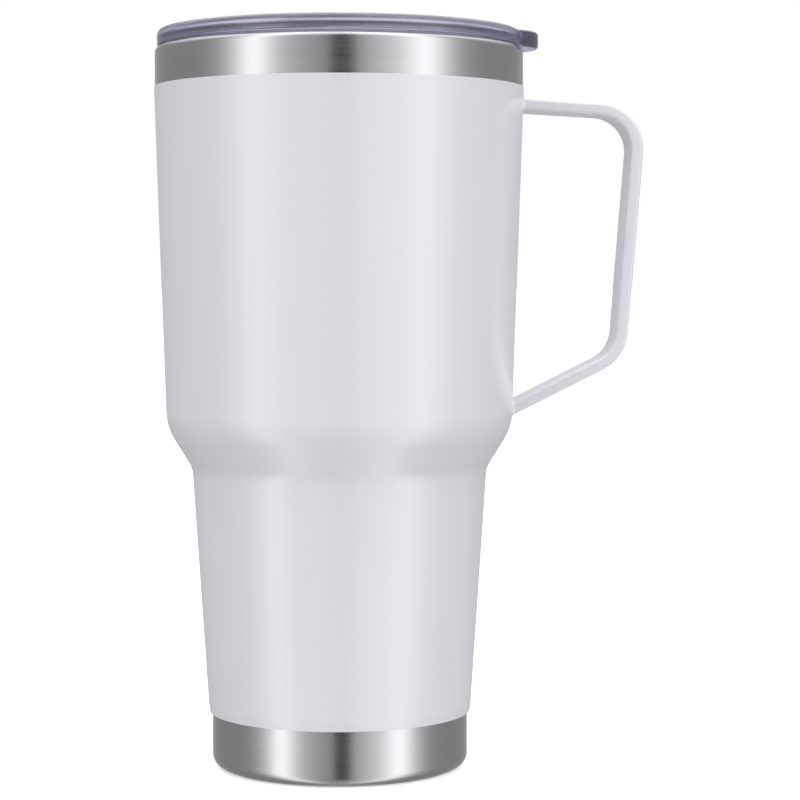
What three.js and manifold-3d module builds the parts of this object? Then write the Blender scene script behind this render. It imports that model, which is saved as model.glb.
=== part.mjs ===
// Insulated tumbler with a welded strap handle and a press-in lid with a sliding closure.
// Millimetres, +Z up. The origin is on the cup's axis, in the plane that it stands on.
// The handle and the lid's thumb tab point along +X, the drink opening along -X.
import * as THREE from "three";
import { mergeVertices } from "three/addons/utils/BufferGeometryUtils.js";
import Module from "manifold-3d";

const wasm = await Module();
wasm.setup();

// ---- driving dimensions: cup ----
const bodyHeight = 199.8; // base to the top of the mouth lip
const mouthRadius = 50.9; // bare steel band at the mouth
const upperTaper = 1.87; // degrees, shoulder to mouth
const lowerTaper = 3.76; // degrees, base to waist
const waistHeight = 83.5;
const shoulderHeight = 95;
const waistFillet = 7;
const shoulderFillet = 15;
const bareBandHeight = 11; // unpainted steel below the mouth lip
const shellWall = 0.45;
const linerWall = 0.45;
const wallSpan = 3.5; // outside of the shell to the inside of the liner
const hemHeight = 15.5; // where the shell's hem meets the base cup
const hemTurnHeight = 17.8; // where the hem starts to draw in
const hemStep = 0.82; // the coated side outside the base cup, at the hem's turn
const hemFillet = 3;
const mouthSeamGap = 0.6; // shell to liner on the crest of the lip, closed by a weld

// ---- driving dimensions: coating, foil and fits ----
const coatThickness = 0.2;
const foilThickness = 0.1;
const skinGap = 0.05; // between layers that lie on each other
const seatGap = 0.2; // between faces that rest on each other
const partGap = 0.3; // between pieces that only meet

// ---- driving dimensions: base ----
const baseRadius = 35.65;
const baseWall = 0.6;
const baseRimHeight = 20; // top of the base cup's wall, inside the shell
const baseCornerFillet = 3.5;
const footWidth = 2.4; // flat ring that the cup stands on
const footStep = 0.9; // radial run from the foot ring up to the recessed floor
const baseRecess = 1.4;
const portRadius = 4;
const portDepth = 1.3;
const portHoleRadius = 0.8;
const discRecess = 0.6; // the cover disc's face above the foot ring
const discThickness = 0.5;
const linerFloorHeight = 9.5; // drinking side of the liner's bottom
const linerCornerFillet = 6;
const linerSeamHeight = 17;
const seamWeldWidth = 1.6;
const seamWeldThickness = 0.5;
const getterRadius = 5;
const getterHeight = 1.6;
const holderWall = 0.3;

// ---- driving dimensions: handle ----
const strapWidth = 16;
const strapThickness = 3.2;
const strapEdge = 0.9; // rounding of the strap's long edges
const handleTopHeight = 184; // middle of the top arm at the mouth radius
const handleReach = 32.3; // mouth radius to the strap's upper corner
const handleDroop = 3.2; // degrees that the top arm falls
const gripLength = 67.5;
const gripLean = 4.55; // degrees that the grip leans in towards the base
const lowerArmSlope = 26.5; // degrees that the lower arm falls towards the cup
const bendRadius = 11; // middle of the strap
const handleWeldLeg = 0.9;

// ---- driving dimensions: lid ----
const rimInset = 0.6; // the rim inside the mouth band
const rimHeight = 4.4; // above the flange's underside
const rimWall = 2.8;
const rimTopFillet = 1.6;
const ledgeHeight = 2.1; // the step inside the rim, above the flange's underside
const wellInset = 5.9; // the well's wall inside the rim
const wellDepth = 6.6; // rim top to the well's floor
const floorThickness = 2;
const plugClearance = 1.1; // plug's upper collar to the liner's mouth
const plugDepth = 11.4; // below the flange's underside
const plugWall = 1.8;
const grooveDepth = 1.9;
const grooveHeight = 5.2;
const grooveFloorHeight = 1.8; // lower flange under the groove
const tabRadius = 13.5;
const tabReach = 5; // beyond the rim
const tabDrop = 0.4; // below the flange's underside, outside the mouth
const tabTopStep = 0.2; // below the rim's top
const gasketBaseThickness = 1.5;
const gasketLipClearance = 0.2; // lip to the liner, drawn uncompressed

// ---- driving dimensions: slider and drink opening ----
const openingInset = 3.9; // the opening's outer edge to the well's wall
const openingLength = 8;
const openingHalfWidth = 9;
const openingFillet = 3.5;
const ventInset = 10.4; // the vent's middle to the well's wall
const ventRadius = 1.5;
const railSpacing = 24; // between the rails' inner faces
const railWall = 1.6;
const railHeight = 3.7;
const railLip = 1.2;
const railInset = 4.4; // the rails' front ends to the well's wall
const railOverrun = 2; // the rails' back ends beyond the stop
const stopThickness = 1.2;
const sliderInset = 1.6; // the slider's front edge to the well's wall
const sliderBack = 3.5;
const sliderThickness = 1.9;
const sliderOverrun = 10; // travel beyond the opening's length
const deckRise = 1.3; // the slider's middle, above its side flanges
const deckClearance = 0.5; // deck to the rails' lips
const gripRise = 2.2;
const gripFront = -15;
const gripBack = -3;
const gripHalfWidth = 8;
const sealThickness = 1;
const sealMargin = 1.5; // seal beyond the drink opening
const sealLift = 0.1; // running gap over the floor

// ---- drawing ----
const turnSteps = 48; // facets round a turned piece
const smallTurnSteps = 24;
const arcError = 0.08; // a fillet's arc to its facets, at most
const MERGE = 1e-4;

const rad = THREE.MathUtils.degToRad;

// A corner of an outline in the turning plane: radius, height and the fillet that rounds it.
const corner = (r, z, fillet = 0) => ({ r, z, fillet });

// Where the line through a along u meets the line through b along v.
function meet(a, u, b, v) {
  const cross = u.r * v.z - u.z * v.r;
  const t = ((b.r - a.r) * v.z - (b.z - a.z) * v.r) / cross;
  return { r: a.r + t * u.r, z: a.z + t * u.z };
}

function directions(outline) {
  return outline.slice(1).map((b, i) => {
    const a = outline[i];
    const length = Math.hypot(b.r - a.r, b.z - a.z);
    return { r: (b.r - a.r) / length, z: (b.z - a.z) / length };
  });
}

// The outline moved sideways by distance, to the right of its direction of travel, fillets and all.
function parallel(outline, distance) {
  const along = directions(outline);
  const moved = (p, u) => ({ r: p.r + u.z * distance, z: p.z - u.r * distance });
  return outline.map((p, i) => {
    if (i === 0) return corner(...Object.values(moved(p, along[0])));
    if (i === along.length) return corner(...Object.values(moved(p, along[i - 1])));
    const [u, v] = [along[i - 1], along[i]];
    const at = meet(moved(p, u), u, moved(p, v), v);
    const turnsLeft = u.r * v.z - u.z * v.r > 0;
    const fillet = p.fillet > 0 ? p.fillet + (turnsLeft ? distance : -distance) : 0;
    return corner(at.r, at.z, Math.max(fillet, 0));
  });
}

// The outline as points, with each fillet as an arc.
function rounded(outline) {
  const along = directions(outline);
  const points = [];
  outline.forEach((p, i) => {
    if (i === 0 || i === along.length || p.fillet <= 0) {
      points.push(new THREE.Vector2(p.r, p.z));
      return;
    }
    const [u, v] = [along[i - 1], along[i]];
    const turn = Math.atan2(u.r * v.z - u.z * v.r, u.r * v.r + u.z * v.z);
    const tangent = p.fillet * Math.tan(Math.abs(turn) / 2);
    const side = Math.sign(turn);
    const start = { r: p.r - u.r * tangent, z: p.z - u.z * tangent };
    const centre = { r: start.r - u.z * p.fillet * side, z: start.z + u.r * p.fillet * side };
    const facetTurn = 2 * Math.acos(Math.max(1 - arcError / p.fillet, 0.5));
    const facets = Math.ceil(Math.abs(turn) / facetTurn);
    for (let k = 0; k <= facets; k++) {
      const angle = (turn * k) / facets;
      const [c, s] = [Math.cos(angle), Math.sin(angle)];
      const [dr, dz] = [start.r - centre.r, start.z - centre.z];
      points.push(new THREE.Vector2(centre.r + dr * c - dz * s, centre.z + dr * s + dz * c));
    }
  });
  return points;
}

// The radius of an outline's points at a height.
function radiusAt(outline, z) {
  const points = rounded(outline);
  for (let i = 1; i < points.length; i++) {
    const [a, b] = [points[i - 1], points[i]];
    if (z >= Math.min(a.y, b.y) && z <= Math.max(a.y, b.y) && a.y !== b.y) {
      return a.x + ((b.x - a.x) * (z - a.y)) / (b.y - a.y);
    }
  }
  throw new Error("the outline has no point at height " + z);
}

// A solid of revolution about Z from a closed loop of points, or from points that start and end on the axis.
function turned(points, steps = turnSteps) {
  const loop = [...points];
  const [first, last] = [loop[0], loop[loop.length - 1]];
  if (!first.equals(last) && !(first.x === 0 && last.x === 0)) loop.push(first.clone());
  if (THREE.ShapeUtils.area(loop) < 0) loop.reverse();
  return new THREE.LatheGeometry(loop, steps).rotateX(Math.PI / 2);
}

// A wall between two outlines that run the same way.
const wall = (outer, inner, steps) => turned([...rounded(outer), ...rounded(inner).reverse()], steps);

// A plate whose outline is a shape in X and Y, from one height to another.
function plate(shape, bottom, top) {
  const options = { depth: top - bottom, bevelEnabled: false, curveSegments: 8 };
  return new THREE.ExtrudeGeometry(shape, options).translate(0, 0, bottom);
}

// A rectangle in X and Y with rounded corners.
function roundedRectangle(x0, x1, halfWidth, fillet) {
  const f = Math.max(fillet, 0.01);
  const shape = new THREE.Shape();
  shape.moveTo(x0 + f, -halfWidth);
  shape.absarc(x1 - f, -halfWidth + f, f, -Math.PI / 2, 0);
  shape.absarc(x1 - f, halfWidth - f, f, 0, Math.PI / 2);
  shape.absarc(x0 + f, halfWidth - f, f, Math.PI / 2, Math.PI);
  shape.absarc(x0 + f, -halfWidth + f, f, Math.PI, 1.5 * Math.PI);
  return shape;
}

function box(x0, x1, y0, y1, z0, z1) {
  const geometry = new THREE.BoxGeometry(x1 - x0, y1 - y0, z1 - z0);
  return geometry.translate((x0 + x1) / 2, (y0 + y1) / 2, (z0 + z1) / 2);
}

function upright(radius, z0, z1, x = 0, facets = turnSteps) {
  const geometry = new THREE.CylinderGeometry(radius, radius, z1 - z0, facets);
  return geometry.rotateX(Math.PI / 2).translate(x, 0, (z0 + z1) / 2);
}

// A closed geometry as a solid that can be cut and joined, and back.
function solid(geometry) {
  const bare = geometry.clone();
  for (const name of ["normal", "uv"]) bare.deleteAttribute(name);
  const merged = mergeVertices(bare, MERGE);
  const vertProperties = new Float32Array(merged.attributes.position.array);
  return new wasm.Manifold(
    new wasm.Mesh({ numProp: 3, vertProperties, triVerts: new Uint32Array(merged.index.array) }),
  );
}

function geometryOf(made) {
  const mesh = made.getMesh();
  const geometry = new THREE.BufferGeometry();
  geometry.setAttribute("position", new THREE.BufferAttribute(mesh.vertProperties, 3));
  geometry.setIndex(new THREE.BufferAttribute(mesh.triVerts, 1));
  geometry.computeVertexNormals();
  return geometry;
}

// ---- materials ----
const finish = (color, roughness, metalness, opacity = 1) =>
  new THREE.MeshStandardMaterial({ color, roughness, metalness, opacity, transparent: opacity < 1 });
const brushedSteel = finish(0xa6a6a8, 0.28, 1);
const linerSteel = finish(0xb4b4b6, 0.35, 1);
const whiteCoat = finish(0xdcdce2, 0.55, 0);
const smokePlastic = finish(0x4c5472, 0.08, 0, 0.5);
const clearSilicone = finish(0xdfe3e6, 0.6, 0, 0.8);
const copperFoil = finish(0xb87349, 0.35, 1);
const sinteredMetal = finish(0x4a4844, 0.85, 0.6);
const solderGlass = finish(0x3a3d40, 0.2, 0);

const tumbler = new THREE.Group();
const cup = new THREE.Group();
const lid = new THREE.Group();
tumbler.add(cup, lid);

function piece(group, name, geometry, material) {
  const mesh = new THREE.Mesh(geometry, material);
  mesh.name = name;
  group.add(mesh);
}

// ---- cup: outside of the steel from the hem to the mouth lip ----
const lipRadius = wallSpan / 2;
const lipSpring = bodyHeight - lipRadius; // where the lip's half round starts
const lipCrest = mouthRadius - lipRadius;
const lipFillet = lipRadius - mouthSeamGap / 2;
const coatTop = bodyHeight - bareBandHeight;
const shoulderRadius = mouthRadius - (coatTop - shoulderHeight) * Math.tan(rad(upperTaper));
const hemTurnRadius = baseRadius + hemStep;
const waistRadius = hemTurnRadius + (waistHeight - hemTurnHeight) * Math.tan(rad(lowerTaper));

const sideCorners = [
  corner(hemTurnRadius, hemTurnHeight, hemFillet),
  corner(waistRadius, waistHeight, waistFillet),
  corner(shoulderRadius, shoulderHeight, shoulderFillet),
];
const hem = corner(baseRadius + shellWall + skinGap, hemHeight);
const mouthBand = corner(mouthRadius, coatTop);
const shellOutline = [
  hem,
  ...sideCorners,
  mouthBand,
  corner(mouthRadius, bodyHeight, lipFillet),
  corner(lipCrest + mouthSeamGap / 2, bodyHeight),
];
piece(cup, "outer_shell", wall(shellOutline, parallel(shellOutline, -shellWall)), brushedSteel);

// The side without its lip and hem, for what lies parallel to it.
const sideOutline = [hem, ...sideCorners, mouthBand];

// ---- cup: liner, with the inner half of the lip ----
const linerInside = parallel([...sideCorners, mouthBand, corner(mouthRadius, lipSpring)], -wallSpan);
const linerFoot = corner(radiusAt(linerInside, linerSeamHeight + 3), linerSeamHeight + partGap / 2);
linerFoot.r = linerInside[0].r - (linerInside[0].z - linerFoot.z) * Math.tan(rad(lowerTaper));
const linerOutline = [
  linerFoot,
  ...linerInside.slice(1, -1),
  corner(mouthRadius - wallSpan, bodyHeight, lipFillet),
  corner(lipCrest - mouthSeamGap / 2, bodyHeight),
];
piece(cup, "inner_liner", wall(linerOutline, parallel(linerOutline, linerWall)), linerSteel);

const seamRadius = linerFoot.r - partGap * Math.tan(rad(lowerTaper));
const floorCornerRadius = seamRadius - (linerSeamHeight - linerFloorHeight) * Math.tan(rad(lowerTaper));
const dishOutline = [
  corner(0, linerFloorHeight),
  corner(floorCornerRadius, linerFloorHeight, linerCornerFillet),
  corner(seamRadius, linerSeamHeight - partGap / 2),
];
piece(cup, "liner_bottom", wall(dishOutline, parallel(dishOutline, linerWall)), linerSteel);

// A weld ring of rectangular section between two radii.
function ring(inner, outer, bottom, top) {
  return turned([[inner, bottom], [outer, bottom], [outer, top], [inner, top]].map((p) => new THREE.Vector2(...p)));
}

// ---- cup: welds that close the mouth, the liner's bottom and the base ----
const mouthSeamHalf = mouthSeamGap / 2 - skinGap;
const mouthSeam = ring(lipCrest - mouthSeamHalf, lipCrest + mouthSeamHalf, bodyHeight - shellWall, bodyHeight);
piece(cup, "mouth_weld", mouthSeam, brushedSteel);
const linerBackRadius = linerFoot.r + linerWall / Math.cos(rad(lowerTaper)) + skinGap * 2;
const linerSeam = ring(
  linerBackRadius,
  linerBackRadius + seamWeldThickness,
  linerSeamHeight - seamWeldWidth / 2,
  linerSeamHeight + seamWeldWidth / 2,
);
piece(cup, "liner_weld", linerSeam, linerSteel);

// ---- cup: foil round the liner's sides, above its seam ----
const foilInside = parallel(linerOutline.slice(0, -2), linerWall + skinGap * 4);
foilInside[0].z += 2 * seamWeldWidth;
foilInside[0].r += 2 * seamWeldWidth * Math.tan(rad(lowerTaper));
foilInside.push(corner(foilInside.at(-1).r, lipSpring - linerWall * 10));
const foilWrap = parallel(foilInside, foilThickness);
piece(cup, "radiation_foil", wall(foilWrap, foilInside), copperFoil);

// ---- cup: base ----
const footOuter = baseRadius - baseCornerFillet;
const footInner = footOuter - footWidth;
const recessRadius = footInner - footStep;
const baseOutline = [
  corner(baseRadius, baseRimHeight),
  corner(baseRadius, 0, baseCornerFillet),
  corner(footInner, 0),
  corner(recessRadius, baseRecess),
  corner(portRadius + portDepth / 2, baseRecess),
  corner(portRadius, baseRecess + portDepth),
  corner(portHoleRadius, baseRecess + portDepth),
];
piece(cup, "base_cup", wall(baseOutline, parallel(baseOutline, baseWall)), brushedSteel);

const shellInside = parallel(shellOutline, -shellWall);
const baseWeldTop = baseRimHeight - partGap;
const baseWeldBottom = baseWeldTop - seamWeldWidth;
const baseWeldOuter = radiusAt(shellInside, baseWeldBottom) - skinGap;
const baseSeam = ring(baseRadius + skinGap, baseWeldOuter, baseWeldBottom, baseWeldTop);
piece(cup, "base_weld", baseSeam, brushedSteel);

const portSealTop = baseRecess + portDepth - skinGap;
const portSealBottom = portSealTop - portDepth * 0.7;
const sealBody = upright(portRadius - partGap, portSealBottom, portSealTop, 0, smallTurnSteps);
piece(cup, "port_seal", sealBody, solderGlass);

const discRadius = footInner - partGap * 2;
const discOutline = [
  corner(0, discRecess),
  corner(discRadius, discRecess, discThickness / 3),
  corner(discRadius - footStep * 0.55, discRecess + discThickness),
  corner(0, discRecess + discThickness),
];
piece(cup, "base_disc", turned(rounded(discOutline)), brushedSteel);

// ---- cup: getter pellet in its holder, under the liner's bottom ----
const holderTop = linerFloorHeight - linerWall - skinGap;
const holderRadius = getterRadius + partGap + holderWall;
const pelletTop = holderTop - partGap;
const holderBottom = pelletTop - getterHeight - partGap;
const holderOutline = [
  corner(getterRadius * 0.6, holderBottom - holderWall),
  corner(holderRadius, holderBottom - holderWall, holderWall),
  corner(holderRadius, holderTop - holderWall),
  corner(holderRadius + 2, holderTop - holderWall),
];
const holder = wall(holderOutline, parallel(holderOutline, -holderWall), smallTurnSteps);
piece(cup, "getter_holder", holder, linerSteel);
piece(cup, "getter_pellet", upright(getterRadius, pelletTop - getterHeight, pelletTop, 0, smallTurnSteps), sinteredMetal);

// ---- cup: handle, a bent strap drawn from the side, as radius and height ----
const upperCorner = corner(
  mouthRadius + handleReach,
  handleTopHeight - handleReach * Math.tan(rad(handleDroop)),
  bendRadius,
);
const lowerCorner = corner(
  upperCorner.r - gripLength * Math.sin(rad(gripLean)),
  upperCorner.z - gripLength * Math.cos(rad(gripLean)),
  bendRadius,
);
const innerEnd = waistRadius; // inside the shell, trimmed to it below
const strapLine = [
  corner(innerEnd, handleTopHeight + (mouthRadius - innerEnd) * Math.tan(rad(handleDroop))),
  upperCorner,
  lowerCorner,
  corner(innerEnd, lowerCorner.z - (lowerCorner.r - innerEnd) * Math.tan(rad(lowerArmSlope))),
];

// The strap, or a larger one by grow on every side.
function strap(grow) {
  const half = strapThickness / 2 + grow;
  const edge = strapEdge;
  const outline = [...rounded(parallel(strapLine, half)), ...rounded(parallel(strapLine, -half)).reverse()];
  const options = {
    depth: strapWidth + 2 * grow - 2 * edge,
    bevelSize: edge,
    bevelThickness: edge,
    bevelOffset: -edge,
    bevelSegments: 2,
  };
  const geometry = new THREE.ExtrudeGeometry(new THREE.Shape(outline), options);
  return solid(geometry.translate(0, 0, -options.depth / 2).rotateX(Math.PI / 2));
}

// The whole cup, filled, out to a distance from the shell's side.
function filledCup(distance) {
  const side = parallel(sideOutline, distance);
  const top = side.at(-1);
  return solid(turned([
    new THREE.Vector2(0, side[0].z),
    ...rounded(side),
    new THREE.Vector2(top.r, bodyHeight),
    new THREE.Vector2(0, bodyHeight),
  ]));
}

const strapSolid = strap(0).subtract(filledCup(partGap));
piece(cup, "handle_strap", geometryOf(strapSolid), whiteCoat);

const weldBand = strap(handleWeldLeg).intersect(filledCup(handleWeldLeg)).subtract(filledCup(skinGap));
const weldRings = weldBand.subtract(strap(skinGap)).decompose();
const weldHeight = (ring) => ring.boundingBox().max[2];
weldRings.sort((a, b) => weldHeight(b) - weldHeight(a));
piece(cup, "handle_weld_upper", geometryOf(weldRings[0]), whiteCoat);
piece(cup, "handle_weld_lower", geometryOf(weldRings[1]), whiteCoat);

// ---- cup: powder coating on the shell between the two bare bands, open where the handle is welded ----
const coatInside = parallel(sideOutline, skinGap);
const coatOutside = parallel(sideOutline, skinGap + coatThickness);
const coatSleeve = solid(wall(coatOutside, coatInside));
piece(cup, "powder_coat", geometryOf(coatSleeve.subtract(strap(handleWeldLeg + skinGap))), whiteCoat);

// ---- lid: rim, stepped well and plug with a groove for the gasket ----
const rimRadius = mouthRadius - rimInset;
const wellRadius = rimRadius - wellInset;
const openingNear = wellRadius - openingInset - openingLength;
const sliderFrontRadius = wellRadius - sliderInset;
const stopX = sliderBack + openingLength + sliderOverrun + partGap;
const railFront = railInset - wellRadius;
const railBack = stopX + stopThickness + railOverrun;
const flangeHeight = bodyHeight + seatGap;
const rimTop = flangeHeight + rimHeight;
const floorTop = rimTop - wellDepth;
const floorBottom = floorTop - floorThickness;
const plugRadius = mouthRadius - wallSpan - plugClearance;
const plugBottom = flangeHeight - plugDepth;
const grooveRadius = plugRadius - grooveDepth;
const grooveBottom = plugBottom + grooveFloorHeight;
const grooveTop = grooveBottom + grooveHeight;
const skirtRadius = grooveRadius - plugWall;
const wellWallTop = wellRadius + 0.8;
const lidOutline = [
  corner(0, floorBottom),
  corner(skirtRadius, floorBottom, 1),
  corner(skirtRadius, plugBottom),
  corner(plugRadius - 0.4, plugBottom, 0.5),
  corner(plugRadius - 0.4, grooveBottom),
  corner(grooveRadius, grooveBottom),
  corner(grooveRadius, grooveTop),
  corner(plugRadius, grooveTop),
  corner(plugRadius, flangeHeight),
  corner(rimRadius, flangeHeight, 0.4),
  corner(rimRadius, rimTop, rimTopFillet),
  corner(rimRadius - rimWall, rimTop, 0.9),
  corner(rimRadius - rimWall - 0.2, flangeHeight + ledgeHeight, 0.5),
  corner(wellWallTop, flangeHeight + ledgeHeight, 0.8),
  corner(wellRadius, floorTop, 1.5),
  corner(0, floorTop),
];

function thumbTab() {
  const lobe = new THREE.Shape().absarc(rimRadius + tabReach - tabRadius, 0, tabRadius, 0, 2 * Math.PI);
  const edge = 0.8;
  const options = {
    depth: rimHeight + tabDrop - tabTopStep - 2 * edge,
    bevelSize: edge,
    bevelThickness: edge,
    bevelOffset: -edge,
    bevelSegments: 2,
    curveSegments: 20,
  };
  const geometry = new THREE.ExtrudeGeometry(lobe, options).translate(0, 0, flangeHeight - tabDrop + edge);
  const rimInside = upright(rimRadius - 1, flangeHeight - 1, rimTop + 1);
  const overMouth = upright(mouthRadius - partGap, flangeHeight - 1, flangeHeight);
  return solid(geometry).subtract(solid(rimInside)).subtract(solid(overMouth));
}

// One rail: an upright with a lip over the slider's flange, drawn across X and run along it.
function rail(side) {
  const foot = floorTop - floorThickness / 2;
  const top = floorTop + railHeight;
  const inner = railSpacing / 2;
  const section = new THREE.Shape([
    new THREE.Vector2(inner, foot),
    new THREE.Vector2(inner + railWall, foot),
    new THREE.Vector2(inner + railWall, top),
    new THREE.Vector2(inner - railLip, top),
    new THREE.Vector2(inner - railLip, top - railLip),
    new THREE.Vector2(inner, top - railLip),
  ]);
  const options = { depth: railBack - railFront, bevelEnabled: false };
  const geometry = new THREE.ExtrudeGeometry(section, options);
  geometry.rotateX(Math.PI / 2).rotateZ(Math.PI / 2).translate(railFront, 0, 0);
  return side > 0 ? solid(geometry) : solid(geometry).mirror([0, 1, 0]);
}

const sliderUnderside = floorTop + partGap;
const stopRib = box(stopX, stopX + stopThickness, -4, 4, floorTop - 1, sliderUnderside + sliderThickness / 2);
const opening = roundedRectangle(-openingNear - openingLength, -openingNear, openingHalfWidth, openingFillet);
const through = [floorBottom - 1, floorTop + 0.1];
let lidSolid = solid(turned(rounded(lidOutline))).add(thumbTab());
for (const side of [-1, 1]) lidSolid = lidSolid.add(rail(side));
lidSolid = lidSolid
  .add(solid(stopRib))
  .subtract(solid(plate(opening, ...through)))
  .subtract(solid(upright(ventRadius, ...through, wellRadius - ventInset, 16)));
piece(lid, "lid_shell", geometryOf(lidSolid), smokePlastic);

// ---- lid: gasket with two lips, in the plug's groove ----
const gasketInner = grooveRadius + partGap / 2;
const gasketFace = gasketInner + gasketBaseThickness;
const gasketBottom = grooveBottom + partGap / 2;
const gasketTop = grooveTop - partGap / 2;
const lipReach = radiusAt(linerInside, gasketBottom) - gasketLipClearance;
const lipPitch = (gasketTop - gasketBottom) / 2;
const gasketLip = (bottom) => [
  corner(gasketFace, bottom + lipPitch * 0.25),
  corner(lipReach, bottom + lipPitch * 0.55),
  corner(lipReach, bottom + lipPitch * 0.75),
  corner(gasketFace, bottom + lipPitch * 0.8),
];
const gasketOutline = [
  corner(gasketInner, gasketBottom),
  corner(gasketFace, gasketBottom),
  ...gasketLip(gasketBottom),
  ...gasketLip(gasketBottom + lipPitch),
  corner(gasketFace, gasketTop),
  corner(gasketInner, gasketTop),
];
piece(lid, "lid_gasket", turned(rounded(gasketOutline)), clearSilicone);

// ---- lid: slider that runs under the rails' lips, with its seal pad ----
const flangeHalf = railSpacing / 2 - partGap;
const deckHalf = railSpacing / 2 - railLip - deckClearance;
const sliderTop = sliderUnderside + sliderThickness;
const sliderFlanges = solid(box(-sliderFrontRadius, sliderBack, -flangeHalf, flangeHalf, sliderUnderside, sliderTop));
const sliderDeck = solid(box(-sliderFrontRadius, sliderBack, -deckHalf, deckHalf, sliderTop - 0.5, sliderTop + deckRise));
const thumbGrip = roundedRectangle(gripFront, gripBack, gripHalfWidth, 3);
const deckTop = sliderTop + deckRise;
const sealOutline = roundedRectangle(
  -openingNear - openingLength - sealMargin * 0.3,
  -openingNear + sealMargin,
  openingHalfWidth + sealMargin,
  openingFillet + sealMargin * 0.5,
);
const pocketOutline = roundedRectangle(
  -openingNear - openingLength - sealMargin * 0.3 - skinGap * 2,
  -openingNear + sealMargin + skinGap * 2,
  openingHalfWidth + sealMargin + skinGap * 2,
  openingFillet + sealMargin * 0.5 + skinGap * 2,
);
const sealBottom = floorTop + sealLift;
const sliderSolid = sliderFlanges
  .add(sliderDeck)
  .add(solid(plate(thumbGrip, deckTop - 0.5, deckTop + gripRise)))
  .intersect(solid(upright(sliderFrontRadius, sliderUnderside - 1, deckTop + gripRise + 1)))
  .subtract(solid(plate(pocketOutline, sliderUnderside - 1, sealBottom + sealThickness + skinGap)));
piece(lid, "slider", geometryOf(sliderSolid), smokePlastic);
piece(lid, "slider_seal", plate(sealOutline, sealBottom, sealBottom + sealThickness), clearSilicone);

export default tumbler;
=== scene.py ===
"""Looks of the insulated tumbler: smooth turned pieces, the bent strap handle and the clear lid, in metres.

The origin is on the cup's axis, in the plane that it stands on. +Z is up and the handle points along +X.
"""

import math

import bmesh
import bpy
from mathutils import Matrix, Vector


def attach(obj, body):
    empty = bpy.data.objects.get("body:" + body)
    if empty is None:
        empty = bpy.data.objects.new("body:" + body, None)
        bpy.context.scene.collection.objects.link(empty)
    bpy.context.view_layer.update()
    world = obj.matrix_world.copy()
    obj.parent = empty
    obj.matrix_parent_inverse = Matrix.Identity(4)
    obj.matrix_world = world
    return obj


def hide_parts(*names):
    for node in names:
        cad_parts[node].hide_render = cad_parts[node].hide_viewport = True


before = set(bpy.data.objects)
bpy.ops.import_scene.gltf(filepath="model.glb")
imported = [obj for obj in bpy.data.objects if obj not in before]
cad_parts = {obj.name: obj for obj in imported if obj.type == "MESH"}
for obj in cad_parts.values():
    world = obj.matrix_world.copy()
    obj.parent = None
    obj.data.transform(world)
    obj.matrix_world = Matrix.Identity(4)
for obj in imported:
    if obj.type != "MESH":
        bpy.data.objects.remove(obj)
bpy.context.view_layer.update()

MM = 0.001

# ---- sizes that the looks share with the solids, in millimetres ----
BODY_HEIGHT = 199.8
MOUTH_RADIUS = 50.9
UPPER_TAPER = 1.87
LOWER_TAPER = 3.76
WAIST_HEIGHT = 83.5
SHOULDER_HEIGHT = 95.0
WAIST_FILLET = 7.0
SHOULDER_FILLET = 15.0
BARE_BAND = 11.0
SHELL_WALL = 0.45
LINER_WALL = 0.45
WALL_SPAN = 3.5
HEM_HEIGHT = 15.5
HEM_TURN_HEIGHT = 17.8
HEM_STEP = 0.82
HEM_FILLET = 3.0
COAT_THICKNESS = 0.2
SKIN_GAP = 0.05
SEAT_GAP = 0.2

BASE_RADIUS = 35.65
BASE_WALL = 0.6
BASE_RIM_HEIGHT = 20.0
BASE_FILLET = 3.5
FOOT_WIDTH = 2.4
FOOT_STEP = 0.9
BASE_RECESS = 1.4
PORT_RADIUS = 4.0
PORT_DEPTH = 1.3
PORT_HOLE = 0.8
DISC_RECESS = 0.6
DISC_THICKNESS = 0.5
LINER_FLOOR = 9.5
LINER_CORNER = 6.0
LINER_SEAM = 17.0
SEAM_GAP = 0.3

STRAP_WIDTH = 16.0
STRAP_THICKNESS = 3.2
STRAP_EDGE = 0.9
HANDLE_TOP = 184.0
HANDLE_REACH = 32.3
HANDLE_DROOP = 3.2
GRIP_LENGTH = 67.5
GRIP_LEAN = 4.55
LOWER_ARM_SLOPE = 26.5
BEND_RADIUS = 11.0
WELD_LEG = 0.9

RIM_RADIUS = 50.3
RIM_HEIGHT = 4.4
RIM_WALL = 2.8
RIM_FILLET = 1.6
LEDGE_HEIGHT = 2.1
WELL_RADIUS = 44.4
WELL_DEPTH = 6.6
FLOOR_THICKNESS = 2.0
PLUG_CLEARANCE = 1.1
PLUG_DEPTH = 11.4
PLUG_WALL = 1.8
GROOVE_DEPTH = 1.9
GROOVE_HEIGHT = 5.2
GROOVE_FLOOR = 1.8
TAB_RADIUS = 13.5
TAB_REACH = 5.0
TAB_DROP = 0.4
TAB_TOP_STEP = 0.2
TAB_EDGE = 0.9
GASKET_WALL = 1.5
GASKET_CLEARANCE = 0.2

OPENING_NEAR = 32.5
OPENING_FAR = 40.5
OPENING_HALF = 9.0
OPENING_FILLET = 3.5
VENT_OFFSET = 34.0
VENT_RADIUS = 1.5
RAIL_SPACING = 24.0
RAIL_WALL = 1.6
RAIL_HEIGHT = 3.7
RAIL_LIP = 1.2
RAIL_FRONT = -40.0
RAIL_BACK = 25.0
STOP_X = 21.8
STOP_THICKNESS = 1.2
SLIDER_FRONT = 42.8
SLIDER_BACK = 3.5
SLIDER_THICKNESS = 1.9
SLIDER_GAP = 0.3
DECK_RISE = 1.3
DECK_CLEARANCE = 0.5
GRIP_RISE = 2.2
GRIP_FRONT = -15.0
GRIP_BACK = -3.0
GRIP_HALF = 8.0
SEAL_LIFT = 0.1
SEAL_THICKNESS = 1.0
SEAL_MARGIN = 1.5

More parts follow.
